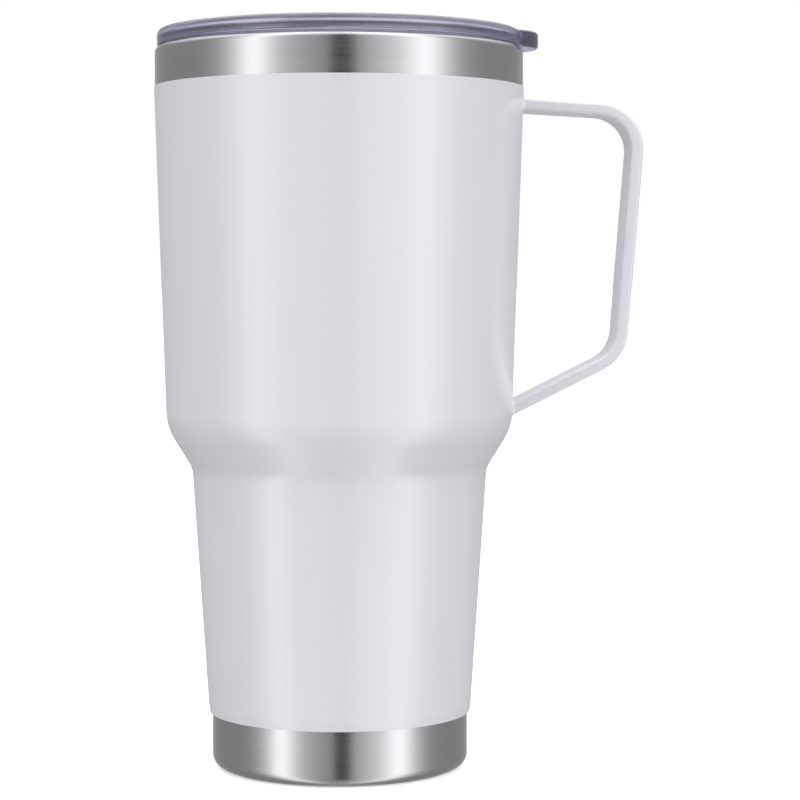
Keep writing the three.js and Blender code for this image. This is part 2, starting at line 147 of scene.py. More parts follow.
# ---- drawing ----
ROUND = 192  # facets round the cup and the lid
ROUND_SMALL = 96  # facets round the tab
ROUND_HOLE = 48  # facets round the vent
ARC_STEP = 9.0  # degrees of a fillet to one facet
SHARP = 32.0  # degrees between faces that keep a hard edge
SHARP_MOULDED = 40.0  # the same on the lid and the slider
SHARP_COATED = 50.0  # the same under the coat, which softens edges
SHARP_WELDED = 60.0
BEVEL_FACETS = 3
ON_AXIS = 1e-6  # a radius below this is a point on the axis
MERGE = 1e-4  # vertices nearer than this become one
CREST_GAP = 0.01  # half the gap between the shell and the liner on the crest of the lip
OVERSHOOT = 1.0  # how far a cutting shape runs past what it cuts
OVERLAP = 0.5  # how far a shape that is joined on sinks into the one below
CLEAR_CUT = 0.1  # how far an opening's cut stands above the face that it opens


def corner(r, z, fillet=0.0):
    """One corner of an outline in the turning plane, and the fillet that rounds it."""
    return (r, z, fillet)


def headings(outline):
    found = []
    for (r0, z0, _), (r1, z1, _) in zip(outline, outline[1:]):
        length = math.hypot(r1 - r0, z1 - z0)
        found.append(((r1 - r0) / length, (z1 - z0) / length))
    return found


def parallel(outline, distance):
    """The outline moved sideways, to the right of its direction of travel, fillets and all."""
    along = headings(outline)
    made = []
    for i, (r, z, fillet) in enumerate(outline):
        if i in (0, len(along)):
            u = along[0] if i == 0 else along[-1]
            made.append((r + u[1] * distance, z - u[0] * distance, 0.0))
            continue
        u, v = along[i - 1], along[i]
        a = (r + u[1] * distance, z - u[0] * distance)
        b = (r + v[1] * distance, z - v[0] * distance)
        cross = u[0] * v[1] - u[1] * v[0]
        t = ((b[0] - a[0]) * v[1] - (b[1] - a[1]) * v[0]) / cross
        grown = fillet + (distance if cross > 0 else -distance) if fillet else 0.0
        made.append((a[0] + t * u[0], a[1] + t * u[1], max(grown, 0.0)))
    return made


def rounded(outline):
    """The outline as points, with each fillet as an arc."""
    along = headings(outline)
    points = []
    for i, (r, z, fillet) in enumerate(outline):
        if i in (0, len(along)) or fillet <= 0:
            points.append((r, z))
            continue
        u, v = along[i - 1], along[i]
        turn = math.atan2(u[0] * v[1] - u[1] * v[0], u[0] * v[0] + u[1] * v[1])
        side = math.copysign(1.0, turn)
        tangent = fillet * math.tan(abs(turn) / 2)
        start = (r - u[0] * tangent, z - u[1] * tangent)
        middle = (start[0] - u[1] * fillet * side, start[1] + u[0] * fillet * side)
        facets = max(2, math.ceil(abs(math.degrees(turn)) / ARC_STEP))
        dr, dz = start[0] - middle[0], start[1] - middle[1]
        for k in range(facets + 1):
            c, s = math.cos(turn * k / facets), math.sin(turn * k / facets)
            points.append((middle[0] + dr * c - dz * s, middle[1] + dr * s + dz * c))
    return points


def radius_at(outline, z):
    """The radius of an outline at a height, both in millimetres."""
    points = rounded(outline)
    for (r0, z0), (r1, z1) in zip(points, points[1:]):
        if min(z0, z1) <= z <= max(z0, z1) and z0 != z1:
            return r0 + (r1 - r0) * (z - z0) / (z1 - z0)
    return points[0][0] if z < points[0][1] else points[-1][0]


def finished(name, bm, hard=SHARP, bevel=0.0, weighted=True):
    """The bmesh, drawn in millimetres, as an object in metres with smooth faces and hard edges."""
    bmesh.ops.remove_doubles(bm, verts=bm.verts, dist=MERGE)
    bmesh.ops.recalc_face_normals(bm, faces=bm.faces)
    bmesh.ops.scale(bm, vec=(MM, MM, MM), verts=bm.verts)
    mesh = bpy.data.meshes.new(name)
    bm.to_mesh(mesh)
    bm.free()
    piece = bpy.data.objects.new(name, mesh)
    bpy.context.scene.collection.objects.link(piece)
    dress(piece, hard, bevel, weighted)
    return piece


def dress(piece, hard=SHARP, bevel=0.0, weighted=True):
    """Smooth shading, an optional rounding of the hard edges, and normals that favour the large faces."""
    piece.data.shade_smooth()
    piece.data.set_sharp_from_angle(angle=math.radians(hard))
    if bevel:
        rounding = piece.modifiers.new("edge", "BEVEL")
        rounding.width = bevel * MM
        rounding.segments = BEVEL_FACETS
        rounding.limit_method = "ANGLE"
        rounding.angle_limit = math.radians(hard)
    if weighted:
        piece.modifiers.new("faces", "WEIGHTED_NORMAL").keep_sharp = not bevel


def baked(piece):
    """The piece with its modifiers made part of its mesh."""
    graph = bpy.context.evaluated_depsgraph_get()
    mesh = bpy.data.meshes.new_from_object(piece.evaluated_get(graph))
    piece.modifiers.clear()
    piece.data = mesh
    mesh.name = piece.name
    return piece


def circle(x, radius, steps=ROUND):
    turns = [2 * math.pi * k / steps for k in range(steps)]
    return [(x + radius * math.cos(a), radius * math.sin(a)) for a in turns]


def band(bm, a, b):
    """Faces between two closed rings of vertices, of which one may be a single point."""
    count = max(len(a), len(b))
    for k in range(count):
        n = (k + 1) % count
        if len(a) == 1:
            bm.faces.new((a[0], b[n], b[k]))
        elif len(b) == 1:
            bm.faces.new((a[k], a[n], b[0]))
        else:
            bm.faces.new((a[k], a[n], b[n], b[k]))


def turned_mesh(loop):
    """A solid turned about Z from a closed loop of points, or from points that start and end on the axis."""
    bm = bmesh.new()
    rings = []
    for r, z in loop:
        ring = [(0, 0)] if r <= ON_AXIS else circle(0, r)
        rings.append([bm.verts.new((x, y, z)) for x, y in ring])
    if loop[0][0] > ON_AXIS or loop[-1][0] > ON_AXIS:
        rings.append(rings[0])
    for a, b in zip(rings, rings[1:]):
        band(bm, a, b)
    return bm


def turned(name, loop, hard=SHARP):
    return finished(name, turned_mesh(loop), hard)


def wall(outer, inner):
    return rounded(outer) + rounded(inner)[::-1]


def plate_mesh(outline, bottom, top):
    """A plate with an outline of X and Y points, between two heights."""
    bm = bmesh.new()
    low = [bm.verts.new((x, y, bottom)) for x, y in outline]
    high = [bm.verts.new((x, y, top)) for x, y in outline]
    bm.faces.new(low)
    bm.faces.new(high)
    band(bm, low, high)
    return bm


def rounded_rectangle(x0, x1, half, fillet, steps=10):
    points = []
    corners = ((x1 - fillet, half - fillet, 0), (x0 + fillet, half - fillet, 90))
    corners += ((x0 + fillet, fillet - half, 180), (x1 - fillet, fillet - half, 270))
    for x, y, start in corners:
        for k in range(steps + 1):
            a = math.radians(start + 90 * k / steps)
            points.append((x + fillet * math.cos(a), y + fillet * math.sin(a)))
    return points


def block_outline(x0, x1, y0, y1):
    return [(x0, y0), (x1, y0), (x1, y1), (x0, y1)]


def combine(piece, operation, other):
    """Joins the other object to the piece, or cuts it from it, and uses it up."""
    step = piece.modifiers.new("step", "BOOLEAN")
    step.operation, step.object, step.solver = operation, other, "EXACT"
    baked(piece)
    bpy.data.objects.remove(other)


def shape(piece, steps):
    """Works each (operation, bmesh) into the piece, in turn."""
    for operation, bm in steps:
        combine(piece, operation, finished("tool", bm, weighted=False))


# ---- shader trees ----
class Wire:
    """A socket in a shader tree. Arithmetic on wires and numbers adds Math nodes."""

    def __init__(self, shader, socket):
        self.shader, self.socket = shader, socket

    def math(self, operation, *values):
        values = dict(enumerate(values))
        return self.shader.node("ShaderNodeMath", {"operation": operation}, values)["Value"]

    def __add__(self, other):
        return self.math("ADD", self, other)

    def __sub__(self, other):
        return self.math("SUBTRACT", self, other)

    def __rsub__(self, other):
        return self.math("SUBTRACT", other, self)

    def __mul__(self, other):
        return self.math("MULTIPLY", self, other)

    def __truediv__(self, other):
        return self.math("DIVIDE", self, other)

    def __pow__(self, other):
        return self.math("POWER", self, other)

    def at_least(self, other):
        return self.math("MAXIMUM", self, other)

    __radd__ = __add__
    __rmul__ = __mul__


class Node:
    """A node whose outputs are read by name, as wires."""

    def __init__(self, shader, node):
        self.shader, self.node = shader, node

    def __getitem__(self, name):
        return Wire(self.shader, self.node.outputs[name])


class Shader:
    """A cleared shader tree of a material or a world, with its output node."""

    def __init__(self, owner, output):
        owner.use_nodes = True
        self.tree = owner.node_tree
        self.tree.nodes.clear()
        self.output = self.tree.nodes.new(output)

    def node(self, kind, settings=None, values=None):
        made = self.tree.nodes.new(kind)
        for key, value in (settings or {}).items():
            setattr(made, key, value)
        for key, value in (values or {}).items():
            if isinstance(value, Wire):
                self.tree.links.new(value.socket, made.inputs[key])
            else:
                made.inputs[key].default_value = value
        return Node(self, made)

    def ends_in(self, wire, socket="Surface"):
        self.tree.links.new(wire.socket, self.output.inputs[socket])


class Finish(Shader):
    """A material and the tree that draws it."""

    def __init__(self, name):
        self.material = bpy.data.materials.new(name)
        super().__init__(self.material, "ShaderNodeOutputMaterial")

    def place(self, scale=(1.0, 1.0, 1.0)):
        """Object coordinates, stretched."""
        here = self.node("ShaderNodeTexCoord")["Object"]
        return self.node("ShaderNodeVectorMath", {"operation": "MULTIPLY"}, {0: here, 1: scale})["Vector"]

    def noise(self, scale, detail=2.0, stretch=(1.0, 1.0, 1.0)):
        values = {"Vector": self.place(stretch), "Scale": scale, "Detail": detail}
        return self.node("ShaderNodeTexNoise", None, values)["Fac"]

    def blend(self, factor, first, second):
        """A colour between two, by the factor."""
        values = {0: factor, 6: (*first, 1.0), 7: (*second, 1.0)}
        mixed = self.node("ShaderNodeMix", {"data_type": "RGBA"}, values)
        return Wire(self, mixed.node.outputs[2])

    def bump(self, height, depth, strength=1.0):
        values = {"Height": height, "Distance": depth, "Strength": strength}
        return self.node("ShaderNodeBump", None, values)["Normal"]

    def surface(self, **values):
        """The Principled surface; underscores in a name stand for spaces."""
        values = {key.replace("_", " "): value for key, value in values.items()}
        self.ends_in(self.node("ShaderNodeBsdfPrincipled", None, values)["BSDF"])
        return self.material


def brushed_steel(name, tone, dark_tone, roughness, anisotropy, grain):
    """Steel polished on a lathe: fine lines that run round it and spread its lights up and down."""
    f = Finish(name)
    fine = f.noise(90.0, 3.0, (1.0, 1.0, grain))
    coarse = f.noise(14.0, 2.0, (1.0, 1.0, grain * 0.55))
    lines = fine * 0.6 + coarse * 0.4
    cloud = f.noise(30.0, 3.0)
    return f.surface(
        Base_Color=f.blend(lines * 0.7 + cloud * 0.3, dark_tone, tone),
        Metallic=1.0,
        Roughness=lines * 0.14 + (roughness - 0.07) + cloud * 0.04,
        Anisotropic=anisotropy,
        Anisotropic_Rotation=0.25,
        Normal=f.bump(lines, 0.00001, 0.5),
    )


def powder_coat():
    """Fine satin powder coat: a faint even grain, and tiny differences of tone and gloss."""
    f = Finish("powder coat white")
    grain = f.noise(2600.0, 2.0)
    flow = f.noise(420.0, 2.0)
    cloud = f.noise(22.0, 2.0)
    return f.surface(
        Base_Color=f.blend(cloud * 0.5 + grain * 0.5, (0.755, 0.75, 0.79), (0.805, 0.80, 0.84)),
        Roughness=grain * 0.06 + cloud * 0.03 + 0.20,
        IOR=1.9,
        Sheen_Weight=0.06,
        Sheen_Roughness=0.4,
        Normal=f.bump(grain * 0.5 + flow * 0.5, 0.00002, 0.12),
    )


def smoke_plastic():
    """Clear moulded plastic tinted smoke blue through its whole thickness, so thick parts look dark."""
    f = Finish("smoke plastic")
    flow = f.noise(60.0, 3.0, (1.0, 1.0, 40.0))
    skin = f.noise(900.0, 2.0)
    tint = f.node("ShaderNodeVolumeAbsorption", None, {"Color": (0.22, 0.25, 0.75, 1.0), "Density": 90.0})
    f.ends_in(tint["Volume"], "Volume")
    return f.surface(
        Base_Color=f.blend(flow, (0.60, 0.60, 0.61), (0.76, 0.76, 0.77)),
        Transmission_Weight=0.9,
        IOR=1.52,
        Roughness=skin * 0.06 + flow * 0.10 + 0.08,
        Normal=f.bump(flow, 0.0001, 0.5),
    )


def silicone():
    f = Finish("silicone")
    dust = f.noise(500.0, 3.0)
    return f.surface(
        Base_Color=f.blend(dust, (0.74, 0.76, 0.78), (0.84, 0.86, 0.87)),
        Roughness=dust * 0.2 + 0.4,
        Subsurface_Weight=0.3,
        Subsurface_Radius=(0.002, 0.002, 0.002),
        Subsurface_Scale=1.0,
        Normal=f.bump(dust, 0.00005, 0.3),
    )


def crumpled_foil():
    f = Finish("foil")
    cells = {"Vector": f.place(), "Scale": 120.0}
    creases = f.node("ShaderNodeTexVoronoi", {"feature": "DISTANCE_TO_EDGE"}, cells)
    fine = f.noise(700.0, 3.0)
    return f.surface(
        Base_Color=f.blend(fine, (0.72, 0.72, 0.74), (0.88, 0.88, 0.90)),
        Metallic=1.0,
        Roughness=fine * 0.2 + 0.15,
        Normal=f.bump(creases["Distance"] * 0.8 + fine * 0.2, 0.0004, 0.6),
    )


def sintered():
    f = Finish("sintered metal")
    pores = f.noise(3000.0, 4.0)
    return f.surface(
        Base_Color=f.blend(pores, (0.05, 0.048, 0.045), (0.22, 0.21, 0.20)),
        Metallic=0.6,
        Roughness=pores * 0.3 + 0.6,
        Normal=f.bump(pores, 0.0002, 0.8),
    )


def solder_glass():
    f = Finish("solder glass")
    swirl = f.noise(600.0, 3.0)
    return f.surface(
        Base_Color=f.blend(swirl, (0.03, 0.033, 0.036), (0.07, 0.075, 0.08)),
        Roughness=swirl * 0.1 + 0.05,
        Normal=f.bump(swirl, 0.0001, 0.3),
    )


def weld_bead():
    f = Finish("weld bead")
    ripple = f.noise(1500.0, 2.0, (1.0, 1.0, 0.3))
    return f.surface(
        Base_Color=f.blend(ripple, (0.38, 0.37, 0.36), (0.60, 0.59, 0.58)),
        Metallic=1.0,
        Roughness=ripple * 0.25 + 0.25,
        Normal=f.bump(ripple, 0.00015, 0.6),
    )


SHELL_STEEL = brushed_steel("brushed steel", (0.61, 0.61, 0.615), (0.52, 0.52, 0.525), 0.24, 0.55, 60.0)
LINER_STEEL = brushed_steel("liner steel", (0.80, 0.80, 0.80), (0.71, 0.71, 0.715), 0.30, 0.35, 40.0)
COAT = powder_coat()
PLASTIC = smoke_plastic()
SILICONE = silicone()


def placed(piece, body, material, slot, *nodes):
    """Gives a piece its finish and its body, and hides the solids that it stands for."""
    piece.data.materials.clear()
    piece.data.materials.append(material)
    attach(piece, body)
    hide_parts(*nodes)


# ---- cup ----
MASK_EDGE = 0.6  # share of the coat's thickness that rounds its edge at the upper bare band
FOOT_FILLET = 0.5
RECESS_FILLET = 0.6
PORT_FILLET = 0.3
DISC_TAPER = 0.55  # share of the foot's step that the disc's edge slopes in


def slope(degrees):
    return math.tan(math.radians(degrees))


LIP_RADIUS = WALL_SPAN / 2
LIP_CREST = MOUTH_RADIUS - LIP_RADIUS
COAT_TOP = BODY_HEIGHT - BARE_BAND
SHOULDER_RADIUS = MOUTH_RADIUS - (COAT_TOP - SHOULDER_HEIGHT) * slope(UPPER_TAPER)
HEM_TURN_RADIUS = BASE_RADIUS + HEM_STEP
WAIST_RADIUS = HEM_TURN_RADIUS + (WAIST_HEIGHT - HEM_TURN_HEIGHT) * slope(LOWER_TAPER)
HEM = corner(BASE_RADIUS + SHELL_WALL + SKIN_GAP, HEM_HEIGHT)
SIDE = [
    corner(HEM_TURN_RADIUS, HEM_TURN_HEIGHT, HEM_FILLET),
    corner(WAIST_RADIUS, WAIST_HEIGHT, WAIST_FILLET),
    corner(SHOULDER_RADIUS, SHOULDER_HEIGHT, SHOULDER_FILLET),
]
MOUTH_BAND = corner(MOUTH_RADIUS, COAT_TOP)
SHELL_SIDE = [HEM, *SIDE, MOUTH_BAND]
LINER_SIDE = parallel([*SIDE, MOUTH_BAND, corner(MOUTH_RADIUS, BODY_HEIGHT - LIP_RADIUS)], -WALL_SPAN)


def outer_shell():
    outline = [
        *SHELL_SIDE,
        corner(MOUTH_RADIUS, BODY_HEIGHT, LIP_RADIUS),
        corner(LIP_CREST - CREST_GAP, BODY_HEIGHT),
    ]
    shell = turned("shell", wall(outline, parallel(outline, -SHELL_WALL)))
    placed(shell, "cup", SHELL_STEEL, "shell_steel", "outer_shell", "mouth_weld")


def inner_liner():
    foot_r, foot_z, _ = LINER_SIDE[0]
    seam_z = LINER_SEAM + SEAM_GAP / 2
    foot = corner(foot_r - (foot_z - seam_z) * slope(LOWER_TAPER), seam_z)
    outline = [
        foot,
        *LINER_SIDE[1:-1],
        corner(MOUTH_RADIUS - WALL_SPAN, BODY_HEIGHT, LIP_RADIUS - 2 * CREST_GAP),
        corner(LIP_CREST - CREST_GAP, BODY_HEIGHT),
    ]
    liner = turned("liner", wall(outline, parallel(outline, LINER_WALL)))
    placed(liner, "cup", LINER_STEEL, "liner_steel", "inner_liner")
    seam_r = foot[0] - SEAM_GAP * slope(LOWER_TAPER)
    floor_r = seam_r - (LINER_SEAM - LINER_FLOOR) * slope(LOWER_TAPER)
    dish = [
        corner(0, LINER_FLOOR),
        corner(floor_r, LINER_FLOOR, LINER_CORNER),
        corner(seam_r, LINER_SEAM - SEAM_GAP / 2),
    ]
    bottom = turned("liner_floor", wall(dish, parallel(dish, LINER_WALL)))
    placed(bottom, "cup", LINER_STEEL, "liner_steel", "liner_bottom")


def coat_sleeve():
    """The coat, with a soft edge where it was masked at the upper bare band."""
    inside = parallel(SHELL_SIDE, SKIN_GAP)
    outside = parallel(SHELL_SIDE, SKIN_GAP + COAT_THICKNESS)
    r, z, _ = outside[-1]
    outside[-1] = corner(r, z, COAT_THICKNESS * MASK_EDGE)
    outside.append(corner(inside[-1][0], inside[-1][1]))
    sleeve = turned("coat", rounded(outside) + rounded(inside)[::-1][1:], SHARP_COATED)
    placed(sleeve, "cup", COAT, "powder_coat_skin", "powder_coat")


def base():
    foot_outer = BASE_RADIUS - BASE_FILLET
    foot_inner = foot_outer - FOOT_WIDTH
    outline = [
        corner(BASE_RADIUS, BASE_RIM_HEIGHT),
        corner(BASE_RADIUS, 0, BASE_FILLET),
        corner(foot_inner, 0, FOOT_FILLET),
        corner(foot_inner - FOOT_STEP, BASE_RECESS, RECESS_FILLET),
        corner(PORT_RADIUS + PORT_DEPTH / 2, BASE_RECESS, PORT_FILLET),
        corner(PORT_RADIUS, BASE_RECESS + PORT_DEPTH, PORT_FILLET),
        corner(PORT_HOLE, BASE_RECESS + PORT_DEPTH),
    ]
    cup = turned("base", wall(outline, parallel(outline, BASE_WALL)))
    placed(cup, "cup", SHELL_STEEL, "shell_steel", "base_cup")
    disc_r = foot_inner - 2 * SEAM_GAP
    disc = [
        corner(0, DISC_RECESS),
        corner(disc_r, DISC_RECESS, DISC_THICKNESS / 3),
        corner(disc_r - FOOT_STEP * DISC_TAPER, DISC_RECESS + DISC_THICKNESS),
        corner(0, DISC_RECESS + DISC_THICKNESS),
    ]
    placed(turned("base_cover", rounded(disc)), "cup", SHELL_STEEL, "shell_steel", "base_disc")


# ---- handle ----
STRAP_FACETS = 5  # on each rounded edge
WELD_FACETS = 6
WELD_SINK = 0.9  # share of the coat and its gap that a weld's underside goes down
WELD_INSET = 0.15  # how far a weld's underside lies inside the strap
END_CLEARANCE = 1.2  # bend radii from a bend's corner to a point clear of the bend
LONGEST_ARM = 60.0
HALVINGS = 40

UPPER_CORNER = corner(
    MOUTH_RADIUS + HANDLE_REACH,
    HANDLE_TOP - HANDLE_REACH * slope(HANDLE_DROOP),
    BEND_RADIUS,
)
LOWER_CORNER = corner(
    UPPER_CORNER[0] - GRIP_LENGTH * math.sin(math.radians(GRIP_LEAN)),
    UPPER_CORNER[1] - GRIP_LENGTH * math.cos(math.radians(GRIP_LEAN)),
    BEND_RADIUS,
)
STRAP_LINE = [
    corner(WAIST_RADIUS, HANDLE_TOP + (MOUTH_RADIUS - WAIST_RADIUS) * slope(HANDLE_DROOP)),
    UPPER_CORNER,
    LOWER_CORNER,
    corner(WAIST_RADIUS, LOWER_CORNER[1] - (LOWER_CORNER[0] - WAIST_RADIUS) * slope(LOWER_ARM_SLOPE)),
]


def strap_section(grow=0.0):
    """The strap's section as (across, out) points: across its width, and out of the bend."""
    half_w, half_t, edge = STRAP_WIDTH / 2 + grow, STRAP_THICKNESS / 2 + grow, STRAP_EDGE + grow
    points = []
    for sx, sy, start in ((1, 1, 0), (-1, 1, 90), (-1, -1, 180), (1, -1, 270)):
        for k in range(STRAP_FACETS + 1):
            a = math.radians(start + 90 * k / STRAP_FACETS)
            x = sx * (half_w - edge) + edge * math.cos(a)
            points.append((x, sy * (half_t - edge) + edge * math.sin(a)))
    return points


def onto_cup(point, heading, distance):
    """Where a line from point along heading meets the cup's side, a distance outside the shell."""
    side = parallel(SHELL_SIDE, distance)

    def outside(t):
        p = point + heading * t
        return math.hypot(p.x, p.y) - radius_at(side, p.z)

    low, high = 0.0, LONGEST_ARM
    for _ in range(HALVINGS):
        middle = (low + high) / 2
        if outside(middle) > 0:
            low = middle
        else:
            high = middle
    return point + heading * low


def strap_ends():
    """For each end of the strap: a point clear of the bend, the way to the cup, and the way out."""
    ends = []
    for end, bend in ((0, 1), (-1, -2)):
        a, b = STRAP_LINE[bend], STRAP_LINE[end]
        heading = Vector((b[0] - a[0], 0, b[1] - a[1])).normalized()
        start = Vector((a[0], 0, a[1])) + heading * BEND_RADIUS * END_CLEARANCE
        ends.append((start, heading, Vector((heading.z, 0, -heading.x))))
    return ends


def handle():
    """The strap: one rounded flat section carried round the bends, its ends landed on the shell."""
    path = rounded(STRAP_LINE)
    section = strap_section()
    bm = bmesh.new()
    rings = []
    for i, (r, z) in enumerate(path):
        before = path[max(i - 1, 0)]
        after = path[min(i + 1, len(path) - 1)]
        along = Vector((after[0] - before[0], 0, after[1] - before[1])).normalized()
        out = Vector((-along.z, 0, along.x))
        rings.append([Vector((r, 0, z)) + Vector((0, 1, 0)) * w + out * t for w, t in section])
    for index, neighbour in ((0, 1), (-1, -2)):
        heading = (rings[index][0] - rings[neighbour][0]).normalized()
        rings[index] = [onto_cup(p, heading, SKIN_GAP) for p in rings[neighbour]]
    made = [[bm.verts.new(p) for p in ring] for ring in rings]
    for a, b in zip(made, made[1:]):
        band(bm, a, b)
    for ring in (made[0], made[-1]):
        middle = bm.verts.new(sum((v.co for v in ring), Vector()) / len(ring))
        band(bm, ring, [middle])
    strap = finished("handle", bm, SHARP_COATED)
    placed(strap, "cup", COAT, "powder_coat", "handle_strap")


def handle_welds():
    """A concave bead of weld round each end of the strap, ground smooth and coated over."""
    surface = SKIN_GAP + COAT_THICKNESS
    across = Vector((0, 1, 0))
    for name, (start, heading, out) in zip(("upper", "lower"), strap_ends()):
        bm = bmesh.new()
        loops = []
        for (w0, t0), (w1, t1) in zip(strap_section(), strap_section(WELD_LEG)):
            root = onto_cup(start + across * w0 + out * t0, heading, surface)
            on_cup = onto_cup(start + across * w1 + out * t1, heading, surface)
            on_strap = root - heading * WELD_LEG
            loop = []
            for k in range(WELD_FACETS + 1):
                s = k / WELD_FACETS
                loop.append(on_strap * (1 - s) ** 2 + root * 2 * s * (1 - s) + on_cup * s * s)
            sink = (onto_cup(on_cup, heading, SKIN_GAP) - on_cup) * WELD_SINK
            inward = (across * w0 + out * t0).normalized() * -WELD_INSET
            loop += [on_cup + sink, root + sink + inward, on_strap + inward]
            loops.append([bm.verts.new(p) for p in loop])
        for a, b in zip(loops, loops[1:] + loops[:1]):
            band(bm, a, b)
        bead = finished("handle_bead_" + name, bm, SHARP_WELDED)
        placed(bead, "cup", COAT, "powder_coat", "handle_weld_" + name)


# ---- lid ----
TAB_FACETS = 6  # on each rounded edge
PLUG_STEP = 0.4  # how far the plug's bottom ring lies inside its top ring
PLUG_FILLET = 0.3
RIM_DRAFT = 0.2
LEDGE_ROUND = 0.8
RAIL_EDGE = 0.5
LIP_EDGE = 0.3
STOP_HALF = 4.0

FLANGE = BODY_HEIGHT + SEAT_GAP
RIM_TOP = FLANGE + RIM_HEIGHT
FLOOR_TOP = RIM_TOP - WELL_DEPTH
FLOOR_BOTTOM = FLOOR_TOP - FLOOR_THICKNESS
PLUG_RADIUS = MOUTH_RADIUS - WALL_SPAN - PLUG_CLEARANCE
PLUG_BOTTOM = FLANGE - PLUG_DEPTH
GROOVE_RADIUS = PLUG_RADIUS - GROOVE_DEPTH
GROOVE_BOTTOM = PLUG_BOTTOM + GROOVE_FLOOR
GROOVE_TOP = GROOVE_BOTTOM + GROOVE_HEIGHT
SKIRT_RADIUS = GROOVE_RADIUS - PLUG_WALL
SLIDER_UNDERSIDE = FLOOR_TOP + SLIDER_GAP
SLIDER_TOP = SLIDER_UNDERSIDE + SLIDER_THICKNESS
DECK_TOP = SLIDER_TOP + DECK_RISE


def tab_mesh():
    """The thumb tab: a round-edged tongue that runs into the rim."""
    bottom, top = FLANGE - TAB_DROP, FLANGE + RIM_HEIGHT - TAB_TOP_STEP
    middle = RIM_RADIUS + TAB_REACH - TAB_RADIUS
    rings = []
    for k in range(TAB_FACETS + 1):
        a = math.radians(90 * k / TAB_FACETS)
        rings.append((TAB_RADIUS - TAB_EDGE * (1 - math.sin(a)), bottom + TAB_EDGE * (1 - math.cos(a))))
    rings += [(r, top - (z - bottom)) for r, z in rings[::-1]]
    bm = bmesh.new()
    made = [[bm.verts.new((x, y, z)) for x, y in circle(middle, r, ROUND_SMALL)] for r, z in rings]
    for a, b in zip(made, made[1:]):
        band(bm, a, b)
    bm.faces.new(made[0])
    bm.faces.new(made[-1])
    return bm


def rail_mesh(side):
    """One rail: an upright with a lip over the slider's edge."""
    foot, top, inner = FLOOR_TOP - FLOOR_THICKNESS / 2, FLOOR_TOP + RAIL_HEIGHT, RAIL_SPACING / 2
    outer = inner + RAIL_WALL
    lip, middle = inner - RAIL_LIP, RAIL_EDGE * 0.3
    section = [
        (inner, foot),
        (outer, foot),
        (outer, top - RAIL_EDGE),
        (outer - middle, top - middle),
        (outer - RAIL_EDGE, top),
        (lip + LIP_EDGE, top),
        (lip, top - LIP_EDGE),
        (lip, top - RAIL_LIP),
        (inner, top - RAIL_LIP),
    ]
    bm = bmesh.new()
    ends = [[bm.verts.new((x, side * y, z)) for y, z in section] for x in (RAIL_FRONT, RAIL_BACK)]
    bm.faces.new(ends[0])
    bm.faces.new(ends[1])
    band(bm, *ends)
    return bm


def lid_shell():
    """The clear lid: one turned moulding with its tab, rails, stop, drink opening and vent."""
    ledge = FLANGE + LEDGE_HEIGHT
    outline = [
        corner(0, FLOOR_BOTTOM),
        corner(SKIRT_RADIUS, FLOOR_BOTTOM, 1.0),
        corner(SKIRT_RADIUS, PLUG_BOTTOM, 0.4),
        corner(PLUG_RADIUS - PLUG_STEP, PLUG_BOTTOM, 0.5),
        corner(PLUG_RADIUS - PLUG_STEP, GROOVE_BOTTOM, 0.25),
        corner(GROOVE_RADIUS, GROOVE_BOTTOM, PLUG_FILLET),
        corner(GROOVE_RADIUS, GROOVE_TOP, PLUG_FILLET),
        corner(PLUG_RADIUS, GROOVE_TOP, PLUG_FILLET),
        corner(PLUG_RADIUS, FLANGE, PLUG_FILLET),
        corner(RIM_RADIUS, FLANGE, 0.4),
        corner(RIM_RADIUS, RIM_TOP, RIM_FILLET),
        corner(RIM_RADIUS - RIM_WALL, RIM_TOP, 0.9),
        corner(RIM_RADIUS - RIM_WALL - RIM_DRAFT, ledge, 0.5),
        corner(WELL_RADIUS + LEDGE_ROUND, ledge, LEDGE_ROUND),
        corner(WELL_RADIUS, FLOOR_TOP, 1.5),
        corner(0, FLOOR_TOP),
    ]
    lid = finished("lid", turned_mesh(rounded(outline)), weighted=False)
    tab = finished("tab", tab_mesh(), weighted=False)
    rim_inside = plate_mesh(circle(0, RIM_RADIUS - OVERSHOOT), FLANGE - OVERSHOOT, RIM_TOP + OVERSHOOT)
    cup_below = plate_mesh(circle(0, MOUTH_RADIUS - SEAM_GAP), FLANGE - OVERSHOOT, FLANGE)
    shape(tab, [("DIFFERENCE", rim_inside), ("DIFFERENCE", cup_below)])
    combine(lid, "UNION", tab)
    stop = block_outline(STOP_X, STOP_X + STOP_THICKNESS, -STOP_HALF, STOP_HALF)
    opening = rounded_rectangle(-OPENING_FAR, -OPENING_NEAR, OPENING_HALF, OPENING_FILLET)
    vent = circle(VENT_OFFSET, VENT_RADIUS, ROUND_HOLE)
    through = (FLOOR_BOTTOM - OVERSHOOT, FLOOR_TOP + CLEAR_CUT)
    shape(
        lid,
        [
            ("UNION", rail_mesh(1)),
            ("UNION", rail_mesh(-1)),
            ("UNION", plate_mesh(stop, FLOOR_TOP - OVERSHOOT, SLIDER_UNDERSIDE + SLIDER_THICKNESS / 2)),
            ("DIFFERENCE", plate_mesh(opening, *through)),
            ("DIFFERENCE", plate_mesh(vent, *through)),
        ],
    )
    dress(lid, SHARP_MOULDED)
    placed(lid, "lid", PLASTIC, "smoke_plastic", "lid_shell")


